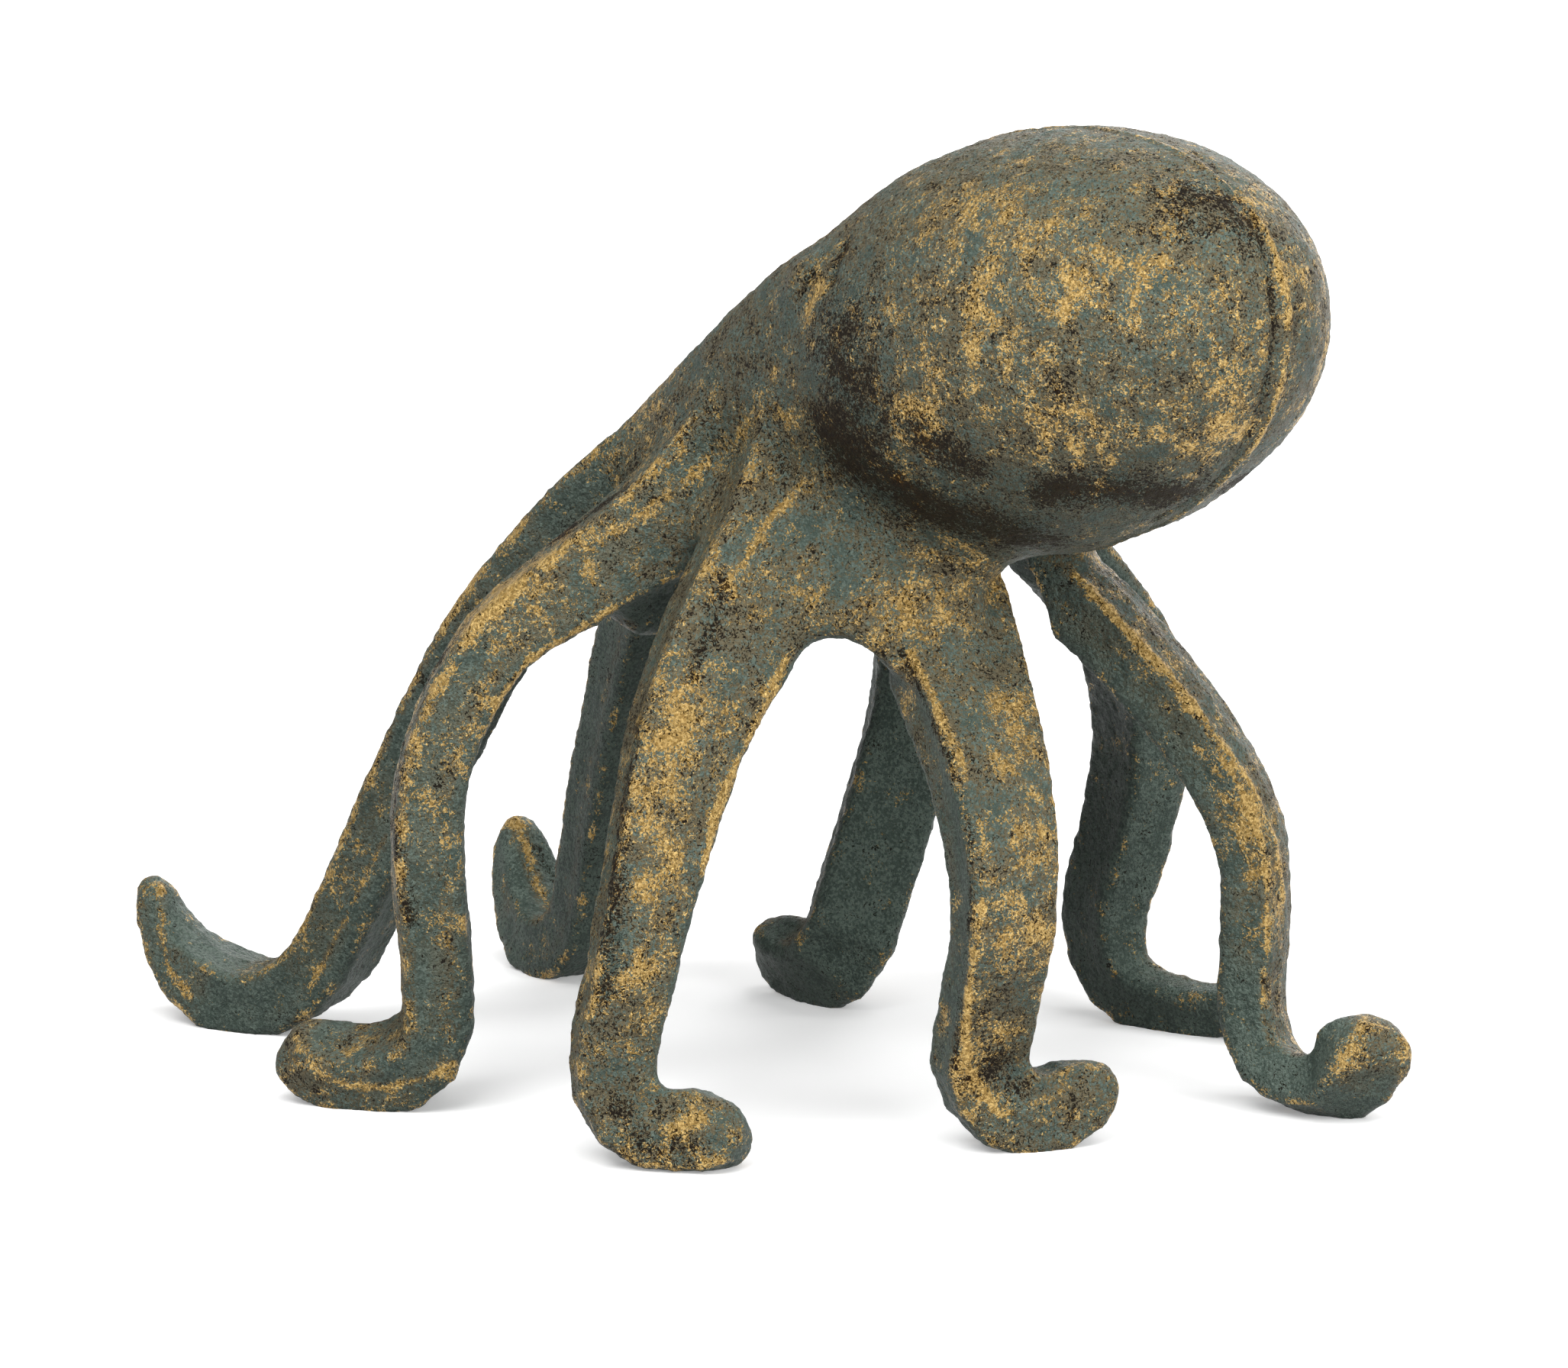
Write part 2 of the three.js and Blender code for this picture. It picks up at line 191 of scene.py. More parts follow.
# Dark specks of wash in the pits, with painted shade where the skin is hollow and where the dark wash and
# shade lie
DARK_PITS_AND_SHADE = Layer({
    "pits": 0.85, "stains": 0.12, "tone": 0.3, "wash_and_shade_cover": 0.6, "hollow": 0.5, "wiped": 1.4, "rub": -0.5,
}, 2.0, 2.9, 0.75)
LIGHT_GREEN = Layer({"tone": 0.5, "flecks": 0.8}, -1.0, 1.0)
BROWN_GLAZE = Layer({"tone": 0.5, "stains": 0.4, "flecks": -0.7}, -0.9, 0.4, 0.75)
# Lighter and darker gold at random: partly uneven gold, partly painted glints and shade on the grains
GOLD_TONE_AND_GLINTS = Layer({"flecks": 1.0}, -1.0, 1.0)

# How much the gold's rubbing wipes the paint, and what the grain of the surface is summed from
RUB_WIPE = 1.6
GRAIN_SHARES = {"sand": 1.0, "grain": 0.4, "pits": -0.3}

# Strokes of the finisher's cloth and of painted shade, as the photograph shows them: how much gold each one
# left, how much dark each one lays, dark wash on some and painted shade on others, its half width in
# millimetres, its course in the photograph's pixels, and how deep the casting is cut there, or with a minus
# how high it stands out
Stroke = namedtuple("Stroke", "name gold wash width course cut", defaults=(0.0,))
STROKES = (
    Stroke("rear_line", 1.0, 0.0, 0.5, ((1648, 424), (1680, 412), (1712, 398)), -0.15),
    Stroke("parting_line", 0.0, 0.8, 0.6, (
        (1570, 200), (1625, 260), (1655, 320), (1665, 375), (1670, 420), (1668, 465), (1658, 510),
        (1635, 570), (1603, 622), (1560, 655), (1515, 680),
    ), 0.55),
    Stroke("parting_edge", 0.8, 0.0, 0.55, (
        (1638, 262), (1668, 322), (1680, 375), (1686, 420), (1682, 470), (1672, 515), (1650, 572),
        (1620, 622),
    ), -0.2),
    Stroke("mantle_stain", 0.0, 0.58, 3.4, ((1548, 250), (1605, 258), (1632, 300))),
    Stroke("mantle_spot", 0.0, 0.45, 2.0, ((1548, 300), (1580, 296))),
    Stroke("brow_shade", 0.0, 0.22, 9.0, ((1000, 500), (900, 560), (820, 620))),
    Stroke("neck_crest", 0.6, 0.0, 1.3, (
        (1018, 489), (985, 560), (930, 605), (879, 643), (817, 695), (744, 732),
    )),
    Stroke("front_run", 0.3, 0.0, 2.6, (
        (700, 700), (600, 812), (545, 930), (500, 1040), (440, 1170), (390, 1260),
    )),
    Stroke("front_edge", 0.8, 0.0, 0.5, ((506, 1096), (466, 1177), (410, 1290))),
    Stroke("front_hook", 1.0, 0.0, 0.6, ((209, 1165), (213, 1225), (224, 1268), (250, 1305))),
    # Painted shadow: the dark seen through the slot between two arms
    Stroke("slot", 0.0, 0.9, 1.8, ((816, 645), (770, 678), (726, 712))),
    Stroke("side_front_top", 0.62, 0.0, 4.5, ((745, 740), (690, 775), (635, 800))),
    Stroke("side_front_bend", 0.0, 0.5, 2.0, ((590, 850), (560, 900))),
    Stroke("side_front_shin", 0.26, 0.0, 4.0, ((590, 900), (565, 1080), (575, 1220))),
    Stroke("side_front_left_edge", 0.0, 0.8, 1.0, ((555, 890), (530, 977), (520, 1081), (541, 1206))),
    Stroke("side_front_right_edge", 1.0, 0.0, 0.7, ((650, 914), (622, 1018), (614, 1185), (616, 1280))),
    Stroke("side_front_arch", 1.0, 0.0, 0.5, ((905, 750), (827, 779), (765, 815), (692, 862), (655, 912))),
    Stroke("side_front_foot", 1.2, 0.0, 0.55, (
        (389, 1363), (418, 1402), (456, 1421), (504, 1423), (557, 1411), (590, 1390),
    )),
    Stroke("side_front_toe", 0.2, 0.5, 1.6, ((395, 1335), (440, 1370))),
    Stroke("side_rear_ridge", 0.8, 0.0, 0.6, (
        (1072, 612), (1041, 646), (1005, 687), (975, 735), (949, 770),
    ), -0.25),
    Stroke("side_rear_shadow", 0.0, 0.6, 1.1, ((945, 765), (930, 830), (905, 890))),
    Stroke("side_rear_face", 0.68, 0.0, 3.4, ((895, 915), (875, 1010), (866, 1090), (866, 1150))),
    Stroke("side_rear_shin", 0.3, 0.0, 3.5, ((862, 1170), (850, 1300), (850, 1390))),
    Stroke("side_rear_left", 0.0, 0.7, 1.5, ((838, 960), (818, 1060), (806, 1180), (795, 1300))),
    Stroke("side_rear_right_edge", 1.1, 0.0, 0.6, (
        (1015, 900), (973, 977), (936, 1060), (916, 1143), (895, 1248),
    )),
    Stroke("side_rear_toe", 0.6, 0.0, 1.6, ((880, 1480), (920, 1462), (965, 1440))),
    Stroke("side_rear_sole", 0.0, 0.5, 2.0, ((815, 1450), (830, 1490), (900, 1505))),
    Stroke("side_arch", 1.1, 0.0, 0.6, ((1000, 908), (1033, 862), (1083, 842), (1125, 848))),
    Stroke("rear_web", 0.45, 0.0, 5.0, ((1170, 800), (1240, 785), (1300, 770))),
    Stroke("rear_ridge", 1.2, 0.0, 0.5, (
        (1192, 852), (1225, 918), (1258, 993), (1287, 1093), (1287, 1193), (1269, 1310), (1266, 1393),
        (1308, 1460), (1383, 1435), (1425, 1402),
    ), -0.25),
    Stroke("rear_ridge_shadow", 0.0, 0.8, 0.5, (
        (1180, 852), (1213, 918), (1246, 993), (1275, 1093), (1275, 1193), (1257, 1310), (1254, 1393),
    )),
    Stroke("rear_face", 0.5, 0.0, 4.5, ((1310, 930), (1345, 1040), (1350, 1130), (1320, 1230))),
    Stroke("rear_ankle", 0.0, 0.5, 2.4, ((1300, 1390), (1330, 1425))),
    Stroke("far_rear_ridge", 1.1, 0.0, 0.55, (
        (1408, 752), (1467, 818), (1533, 885), (1583, 952), (1633, 1027), (1667, 1102), (1679, 1177),
    ), -0.3),
    Stroke("far_rear_shin", 0.58, 0.0, 3.0, ((1630, 1050), (1640, 1140), (1640, 1230))),
    Stroke("far_rear_side", 0.34, 0.0, 2.6, ((1400, 790), (1480, 870), (1560, 960), (1600, 1060))),
    Stroke("far_rear_root", 0.0, 0.35, 2.5, ((1375, 760), (1400, 800))),
    Stroke("far_rear_toe", 0.6, 0.3, 1.6, ((1785, 1345), (1765, 1400))),
    # Gold, made stronger to stand in for the light on the hook's lit face: partly real gold, partly painted
    # highlight
    Stroke("far_hook", 1.1, 0.0, 0.9, ((676, 1082), (688, 1110), (700, 1150), (720, 1190))),
    # Painted shade inside the far hook
    Stroke("far_hook_hollow", 0.0, 0.9, 0.9, ((702, 1115), (722, 1150))),
)

# Strokes on the mantle that the photograph shows, repeated on its other side
MANTLE_STROKES = (
    Stroke("mantle_crown", 0.36, 0.0, 4.0, ((1225, 292), (1310, 284), (1390, 300))),
    Stroke("mantle_band", 0.27, 0.0, 6.0, ((1400, 380), (1500, 372), (1560, 385))),
    Stroke("mantle_belt", 0.32, 0.0, 8.0, ((1290, 500), (1400, 540), (1520, 545), (1590, 530))),
    Stroke("mantle_corner", 0.4, 0.0, 2.5, ((1190, 525), (1215, 545))),
    # These four lay dark wash together with painted shade: under the mantle, beside it, along the neck and in
    # the crease below it
    Stroke("under_mantle", 0.0, 1.15, 3.4, ((1375, 645), (1450, 640), (1545, 648))),
    Stroke("under_side", 0.0, 0.85, 4.0, ((1200, 565), (1255, 605))),
    Stroke("neck_shade", 0.0, 0.78, 8.0, ((1095, 450), (1110, 500), (1125, 545))),
    Stroke("under_crease", 0.0, 1.15, 6.0, ((1095, 580), (1170, 635), (1260, 680), (1340, 700))),
    Stroke("lid_lower", 0.95, 0.0, 1.3, ((1056, 415), (1074, 382))),
    Stroke("lid_line", 0.5, 0.0, 0.6, ((1104, 312), (1082, 342))),
    # Painted shade in the eye's crease and corner, over shallow cuts
    Stroke("lid_hollow", 0.0, 0.8, 1.1, ((1105, 322), (1097, 345), (1090, 368)), 0.5),
    Stroke("lid_corner", 0.0, 0.7, 0.7, ((1062, 358), (1052, 384)), 0.25),
)


def linear(red, green, blue):
    """A colour given in 0 to 255 as screens show it, as linear values."""
    return tuple((value / 255.0) ** 2.2 for value in (red, green, blue))


# Settings


class CastingSettings(bpy.types.PropertyGroup):
    """Sizes of the cast surface."""

    voxel: bpy.props.FloatProperty(
        name="Voxel", description="Size of the faces of the cast surface",
        default=0.55 * MM, unit="LENGTH",
    )
    neck_fillet: bpy.props.FloatProperty(
        name="Neck fillet", description="Radius of the hollow corner between mantle and head",
        default=6.0 * MM, unit="LENGTH",
    )
    arm_fillet: bpy.props.FloatProperty(
        name="Arm fillet", description="Radius of the hollow corners where the arms leave the web",
        default=1.8 * MM, unit="LENGTH",
    )
    plumpness: bpy.props.FloatProperty(
        name="Plumpness", description="How far the skin is swelled before it is smoothed",
        default=0.2 * MM, unit="LENGTH",
    )
    smoothing: bpy.props.IntProperty(
        name="Smoothing", description="Passes that take the facets off the mantle", default=90,
    )
    crispness: bpy.props.FloatProperty(
        name="Crispness", description="How much the arms' edges are drawn out again",
        default=1.9, subtype="FACTOR",
    )
    lump_size: bpy.props.FloatProperty(
        name="Lump size", description="Width of the slow unevenness left by the hand-made pattern",
        default=9.0 * MM, unit="LENGTH",
    )
    lump_height: bpy.props.FloatProperty(
        name="Lump height", description="Height of that unevenness from low to high",
        default=0.7 * MM, unit="LENGTH",
    )
    grain_size: bpy.props.FloatProperty(
        name="Grain size", description="Width of the grains that the sand mould left",
        default=1.3 * MM, unit="LENGTH",
    )
    grain_height: bpy.props.FloatProperty(
        name="Grain height", description="Height of those grains from low to high",
        default=0.6 * MM, unit="LENGTH",
    )
    nick_size: bpy.props.FloatProperty(
        name="Nick size", description="Width of the dents along the arms", default=3.2 * MM, unit="LENGTH",
    )
    nick_height: bpy.props.FloatProperty(
        name="Nick height", description="Height of those dents from low to high",
        default=0.35 * MM, unit="LENGTH",
    )
    seam_height: bpy.props.FloatProperty(
        name="Seam height", description="Height of the line that the two halves of the mould left",
        default=0.3 * MM, unit="LENGTH",
    )
    seam_width: bpy.props.FloatProperty(
        name="Seam width", description="Width of that line", default=1.6 * MM, unit="LENGTH",
    )
    root_reach: bpy.props.FloatProperty(
        name="Root reach", description="How far from the head an arm's own piece starts",
        default=4.0 * MM, unit="LENGTH",
    )


class FinishSettings(bpy.types.PropertyGroup):
    """Colours and sheen of the painted finish."""

    verdigris: bpy.props.FloatVectorProperty(
        name="Verdigris", description="Green paint over the iron", subtype="COLOR", size=3,
        default=linear(100, 113, 104),
    )
    verdigris_deep: bpy.props.FloatVectorProperty(
        name="Deep verdigris", description="Green paint in its darker places", subtype="COLOR", size=3,
        default=linear(74, 86, 79),
    )
    glaze: bpy.props.FloatVectorProperty(
        name="Glaze", description="Thin brown wiped over the outer faces", subtype="COLOR", size=3,
        default=linear(110, 97, 72),
    )
    # Dark colour of the pits, which also paints shade into hollows
    wash: bpy.props.FloatVectorProperty(
        name="Wash", description="Dark brown wash in the hollows", subtype="COLOR", size=3,
        default=linear(40, 33, 22),
    )
    gold: bpy.props.FloatVectorProperty(
        name="Gold", description="Gold rubbed over the high spots", subtype="COLOR", size=3,
        default=linear(206, 174, 112),
    )
    # Mixed with the gold by a fine noise: uneven gold, and partly painted shade on the grains
    gold_deep: bpy.props.FloatVectorProperty(
        name="Deep gold", description="Gold where the rub is thin", subtype="COLOR", size=3,
        default=linear(158, 129, 76),
    )
    # Tint of the dark wash and of the shade painted under the mantle, in creases and in hollows
    wash_and_shade_tint: bpy.props.FloatVectorProperty(
        name="Stain", description="How the brushed wash tints what lies under it", subtype="COLOR", size=3,
        default=linear(102, 85, 62),
    )
    lid_gold: bpy.props.FloatProperty(
        name="Lid gold", description="How much more gold the eye lids took", default=0.4, subtype="FACTOR",
    )
    paint_roughness: bpy.props.FloatProperty(
        name="Paint roughness", description="Roughness of the green paint", default=0.42, subtype="FACTOR",
    )
    gold_roughness: bpy.props.FloatProperty(
        name="Gold roughness", description="Roughness of the rubbed gold", default=0.33, subtype="FACTOR",
    )
    wash_roughness: bpy.props.FloatProperty(
        name="Wash roughness", description="How much rougher the dark wash makes them", default=0.2,
        subtype="FACTOR",
    )
    gold_metal: bpy.props.FloatProperty(
        name="Gold metal", description="How much like metal the gold is", default=0.75, subtype="FACTOR",
    )
    gloss: bpy.props.FloatProperty(
        name="Gloss", description="How strongly the paint mirrors its surroundings", default=0.15,
        subtype="FACTOR",
    )
    grain_depth: bpy.props.FloatProperty(
        name="Grain depth", description="Depth of the grain that is finer than the faces",
        default=0.07 * MM, unit="LENGTH",
    )


class StageSettings(bpy.types.PropertyGroup):
    """Floor, lights and camera."""

    azimuth: bpy.props.FloatProperty(
        name="Azimuth", description="Where the camera stands, from the front towards the left side",
        default=math.radians(132.0), subtype="ANGLE",
    )
    elevation: bpy.props.FloatProperty(
        name="Elevation", description="How far the camera looks down",
        default=math.radians(11.5), subtype="ANGLE",
    )
    distance: bpy.props.FloatProperty(
        name="Distance", description="From the camera to the point that it frames",
        default=1.5, unit="LENGTH",
    )
    aim: bpy.props.FloatVectorProperty(
        name="Aim", description="Point in the middle of the picture", size=3, subtype="TRANSLATION",
        default=(-0.00798, -0.00691, 0.04847),
    )
    floor: bpy.props.FloatVectorProperty(
        name="Floor", description="Colour of the floor", subtype="COLOR", size=3, default=(0.9, 0.9, 0.9),
    )
    floor_bounce: bpy.props.FloatVectorProperty(
        name="Floor bounce", description="Colour of the floor as the light that it throws back sees it",
        subtype="COLOR", size=3, default=(0.2, 0.2, 0.2),
    )
    floor_radius: bpy.props.FloatProperty(
        name="Floor radius", description="Reach of the floor", default=6.0, unit="LENGTH",
    )
    floor_glow: bpy.props.FloatVectorProperty(
        name="Floor glow", description="Whitening of the floor near the object and far away", size=2,
        default=(0.25, 1.0),
    )
    glow_reach: bpy.props.FloatVectorProperty(
        name="Glow reach", description="How far out that whitening starts and ends", size=2, unit="LENGTH",
        default=(0.3, 1.5),
    )
    surround: bpy.props.FloatProperty(
        name="Surround", description="Strength of the even light from all round", default=0.2,
    )


# Node trees


class Wiring:
    """Adds nodes to a tree and links them."""

    def __init__(self, tree):
        self.tree = tree

    def add(self, kind, inputs=(), **settings):
        """A node with its settings, and its inputs given as values or as sockets to link."""
        node = self.tree.nodes.new(kind)
        for name, value in settings.items():
            setattr(node, name, value)
        for key, value in dict(inputs).items():
            if isinstance(value, bpy.types.NodeSocket):
                self.tree.links.new(value, node.inputs[key])
            else:
                node.inputs[key].default_value = value
        return node

    def math(self, operation, *values, clamp=False):
        """The result of one sum on numbers or sockets."""
        return self.add("ShaderNodeMath", enumerate(values), operation=operation, use_clamp=clamp).outputs[0]

    def vector(self, operation, *values):
        """The vector result of one sum on vectors."""
        return self.add("ShaderNodeVectorMath", enumerate(values), operation=operation).outputs["Vector"]

    def dot(self, first, second):
        """The length of one vector along another."""
        node = self.add("ShaderNodeVectorMath", {0: first, 1: second}, operation="DOT_PRODUCT")
        return node.outputs["Value"]

    def ramp(self, value, low, high, to_low=0.0, to_high=1.0):
        """A soft step from one value to another between two limits."""
        node = self.add("ShaderNodeMapRange", {
            "Value": value, "From Min": low, "From Max": high, "To Min": to_low, "To Max": to_high,
        }, interpolation_type="SMOOTHSTEP")
        return node.outputs["Result"]

    def scaled(self, vector, factor):
        """A vector times a number."""
        node = self.add("ShaderNodeVectorMath", {0: vector, "Scale": factor}, operation="SCALE")
        return node.outputs["Vector"]

    def swing(self, noise, place, enlarged):
        """One of the finish's noises, about nought and mostly between -1 and 1."""
        start = self.vector("MULTIPLY", self.vector("ADD", place, noise.shift), noise.squeeze)
        node = self.add("ShaderNodeTexNoise", {
            "Vector": start,
            "Scale": 1.0 / (noise.size * MM * enlarged),
            "Detail": noise.detail,
            "Roughness": NOISE_ROUGHNESS,
            "Distortion": noise.ragged,
        })
        return self.math("MULTIPLY_ADD", node.outputs["Fac"], 1.0 / NOISE_SWING, -0.5 / NOISE_SWING)

    def mix(self, factor, first, second):
        """A colour between two colours."""
        node = self.add("ShaderNodeMix", {"Factor": factor, 6: first, 7: second}, data_type="RGBA")
        return node.outputs[2]


def colour(values):
    """A colour with its alpha, as a socket holds it."""
    return (*values, 1.0)


# Cast surface: every node fused into one skin, with its hollow corners filled


def read(data, name, kind, width=1):
    """One property of every element, as an array."""
    values = np.empty(len(data) * width, kind)
    data.foreach_get(name, values)
    return values.reshape(-1, width) if width > 1 else values


def node_surface(names):
    """Points in millimetres and triangles of some nodes, as one list."""
    points = []
    triangles = []
    start = 0
    for name in names:
        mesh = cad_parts[name].data
        mesh.calc_loop_triangles()
        points.append(read(mesh.vertices, "co", np.float32, 3) / MM)
        triangles.append(read(mesh.loop_triangles, "vertices", np.int32, 3) + start)
        start += len(mesh.vertices)
    return np.concatenate(points), np.concatenate(triangles)


def level_set(points, triangles, quads, voxel, reach):
    """Distances from a closed surface, held out to a reach on both sides."""
    return openvdb.FloatGrid.createLevelSetFromPolygons(
        points,
        triangles=triangles,
        quads=quads,
        transform=openvdb.createLinearTransform(voxel),
        halfWidth=reach / voxel + FIELD_MARGIN,
    )


def filled_corners(points, triangles, quads, voxel, radius):
    """The surface with its hollow corners filled to a radius: swelled by it and shrunk again."""
    swelled, faces = level_set(points, triangles, quads, voxel, radius).convertToQuads(radius)
    return level_set(swelled, None, faces, voxel, radius).convertToQuads(-radius)


def fused_skin(settings):
    """Points in metres and quads of the whole casting."""
    voxel = settings.voxel / MM
    body, quads = filled_corners(*node_surface(("mantle", "head")), None, voxel, settings.neck_fillet / MM)
    limbs, triangles = node_surface(ARMS)
    points = np.concatenate([body, limbs])
    body, quads = filled_corners(points, triangles + len(body), quads, voxel, settings.arm_fillet / MM)
    lids, triangles = node_surface(EYES)
    points = np.concatenate([body, lids])
    skin = level_set(points, triangles + len(body), quads, voxel, settings.plumpness / MM)
    points, quads = skin.convertToQuads(settings.plumpness / MM)
    return points * MM, quads


def node_distance(places, name):
    """Distance from each place to one node's surface, where it lies within reach."""
    low, high = (np.array(corner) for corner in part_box(name))
    near = np.nonzero(np.all((places > low - REACH) & (places < high + REACH), axis=1))[0]
    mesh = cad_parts[name].data
    tree = BVHTree.FromPolygons([v.co for v in mesh.vertices], [p.vertices for p in mesh.polygons])
    away = np.full(len(places), np.inf)
    away[near] = [tree.find_nearest(Vector(places[i]))[3] for i in near]
    return away


def stroke_marks(places, strokes, stage):
    """How much gold, and how much dark wash and painted shade, the strokes leave at each place, and how deep
    the casting is cut there.
    """
    points, triangles = node_surface(NODES)
    tree = BVHTree.FromPolygons((points * MM).tolist(), triangles.tolist())
    eye, right, up, back = camera_frame(stage)
    marks = np.zeros((3, len(places)))
    for stroke in strokes:
        course = []
        for across, down in stroke.course:
            way = right * (across - PHOTO_WIDTH / 2) + up * (PHOTO_HEIGHT / 2 - down) - back * FOCAL_PIXELS
            hit = tree.ray_cast(eye, way.normalized())[0]
            if hit is not None:
                course.append(np.array(hit))
        mark = np.exp(-(line_distance(places, course) / (stroke.width * MM)) ** 2)
        marks[:2] = np.maximum(marks[:2], np.outer((stroke.gold, stroke.wash), mark))
        marks[2] += stroke.cut * MM * mark
    return marks


def line_distance(places, course):
    """Distance from each place to a line through the points of a course."""
    away = np.full(len(places), np.inf)
    for start, end in zip(course, course[1:]):
        along = end - start
        share = np.clip((places - start) @ along / (along @ along), 0.0, 1.0)
        away = np.minimum(away, np.linalg.norm(places - start - share[:, None] * along, axis=1))
    return away


def even_labels(quads, label):
    """The label of each face, changed where most of its neighbours have another one."""
    edges = np.sort(np.concatenate([quads[:, [k, (k + 1) % 4]] for k in range(4)]), axis=1)
    face = np.tile(np.arange(len(quads)), 4)
    side = np.repeat(np.arange(4), len(quads))
    order = np.lexsort((edges[:, 1], edges[:, 0]))
    first, second = order[0::2], order[1::2]
    beside = np.empty((len(quads), 4), np.int64)
    beside[face[first], side[first]] = face[second]
    beside[face[second], side[second]] = face[first]
    for _ in range(LABEL_PASSES):
        around = np.sort(label[beside], axis=1)
        most = np.where(around[:, 0] == around[:, 2], around[:, 0], around[:, 3])
        label = np.where((around[:, 0] == around[:, 2]) | (around[:, 1] == around[:, 3]), most, label)
    return label.astype(np.int32)


def spread_out(values, quads):
    """Values of the points, evened out over the faces around them."""
    corners = quads.ravel()
    count = np.bincount(corners, minlength=len(values))
    for _ in range(SPREAD_PASSES):
        values = np.bincount(corners, np.repeat(values[quads].mean(axis=1), 4), len(values)) / count
    return values


def surface_tree(settings, material):
    """Geometry nodes that smooth the fused skin, roughen it as a casting and mark its ridges and hollows."""
    tree = bpy.data.node_groups.new("sand_casting", "GeometryNodeTree")
    tree.interface.new_socket("Geometry", in_out="INPUT", socket_type="NodeSocketGeometry")
    sizes = {
        "Smoothing": ("NodeSocketInt", settings.smoothing),
        "Crispness": ("NodeSocketFloat", settings.crispness),
        "Lump Size": ("NodeSocketFloat", settings.lump_size),
        "Lump Height": ("NodeSocketFloat", settings.lump_height),
        "Grain Size": ("NodeSocketFloat", settings.grain_size),
        "Grain Height": ("NodeSocketFloat", settings.grain_height),
        "Nick Size": ("NodeSocketFloat", settings.nick_size),
        "Nick Height": ("NodeSocketFloat", settings.nick_height),
        "Seam Height": ("NodeSocketFloat", settings.seam_height),
        "Seam Width": ("NodeSocketFloat", settings.seam_width),
        "Finish": ("NodeSocketMaterial", material),
    }
    for name, (kind, value) in sizes.items():
        socket = tree.interface.new_socket(name, in_out="INPUT", socket_type=kind)
        socket.default_value = value
    tree.interface.new_socket("Geometry", in_out="OUTPUT", socket_type="NodeSocketGeometry")
    w = Wiring(tree)
    given = w.add("NodeGroupInput").outputs
    place = w.add("GeometryNodeInputPosition").outputs["Position"]
    normal = w.add("GeometryNodeInputNormal").outputs["Normal"]

    def named(name):
        """What the skin's points say under a name."""
        node = w.add("GeometryNodeInputNamedAttribute", {"Name": name}, data_type="FLOAT")
        return node.outputs["Attribute"]

    def value_input(node):
        """The one input called Value that is in use."""
        return [socket for socket in node.inputs if socket.enabled and socket.name == "Value"][0]

    def blurred(passes, weight=1.0):
        """The places of the points, evened out with their neighbours."""
        node = w.add("GeometryNodeBlurAttribute", {"Iterations": passes, "Weight": weight},
                     data_type="FLOAT_VECTOR")
        w.tree.links.new(place, value_input(node))
        return [socket for socket in node.outputs if socket.enabled][0]

    def moved(geometry, **inputs):
        """The skin with its points moved to a place or by an offset."""
        return w.add("GeometryNodeSetPosition", {"Geometry": geometry, **inputs}).outputs["Geometry"]

    def stored(geometry, name, value):
        """The skin with a value kept at its points under a name."""
        node = w.add("GeometryNodeStoreNamedAttribute", {"Geometry": geometry, "Name": name},
                     data_type="FLOAT", domain="POINT")
        w.tree.links.new(value, value_input(node))
        return node.outputs["Geometry"]

    def standing(passes):
        """How far a point stands out of the skin around it."""
        return w.dot(normal, w.vector("SUBTRACT", place, blurred(passes)))

    soft = named("softness")
    on_mantle = w.ramp(soft, *MANTLE_SOFTNESS)
    on_limbs = w.math("SUBTRACT", 1.0, soft)
    skin = moved(given["Geometry"], Position=blurred(given["Smoothing"], soft))
    edged = w.ramp(soft, *EDGE_SOFTNESS)
    crisp = w.math("MULTIPLY", edged, given["Crispness"])
    skin = moved(skin, Offset=w.scaled(w.vector("SUBTRACT", place, blurred(EDGE_PASSES)), crisp))
    skin = moved(skin, Position=blurred(SETTLE_PASSES, w.math("MULTIPLY", edged, SETTLE_SHARE)))
    half_width = w.math("MULTIPLY", given["Seam Width"], 0.5)
    aside = w.math("ABSOLUTE", w.dot(w.vector("SUBTRACT", place, node_middle("mantle")), ACROSS))
    seam = w.math("MULTIPLY", w.ramp(aside, half_width, 0.0), on_mantle)

    narrow = standing(RIDGE_PASSES)
    broad = standing(HOLLOW_PASSES)
    skin = stored(skin, "ridge", w.math("MAXIMUM", w.ramp(narrow, *RIDGE_HEIGHTS), seam))
    # How deep a point lies in a hollow, which the finish darkens with dark wash and painted shade
    skin = stored(skin, "hollow", w.ramp(broad, *HOLLOW_HEIGHTS))
    away = w.vector("MULTIPLY", w.vector("SUBTRACT", place, web_axis()), LEVEL)
    outward = w.vector("NORMALIZE", w.vector("ADD", w.vector("NORMALIZE", away), (0.0, 0.0, OUTWARD_RISE)))
    open_side = w.ramp(w.dot(normal, outward), *LIMB_TURN)
    upper_side = w.ramp(w.dot(normal, UP), *MANTLE_TURN, UNDERSIDE_WIPE, 1.0)
    between = w.add("ShaderNodeMix", {"Factor": on_mantle, 2: open_side, 3: upper_side}, data_type="FLOAT")
    skin = stored(skin, "shown", between.outputs[0])

    def relief(size, height):
        """Unevenness about nought, with lumps of one size and height."""
        scale = w.math("DIVIDE", 1.0, given[size])
        noise = w.add("ShaderNodeTexNoise", {"Vector": place, "Scale": scale, "Detail": RELIEF_DETAIL})
        return w.math("MULTIPLY", w.math("SUBTRACT", noise.outputs["Fac"], 0.5), given[height])

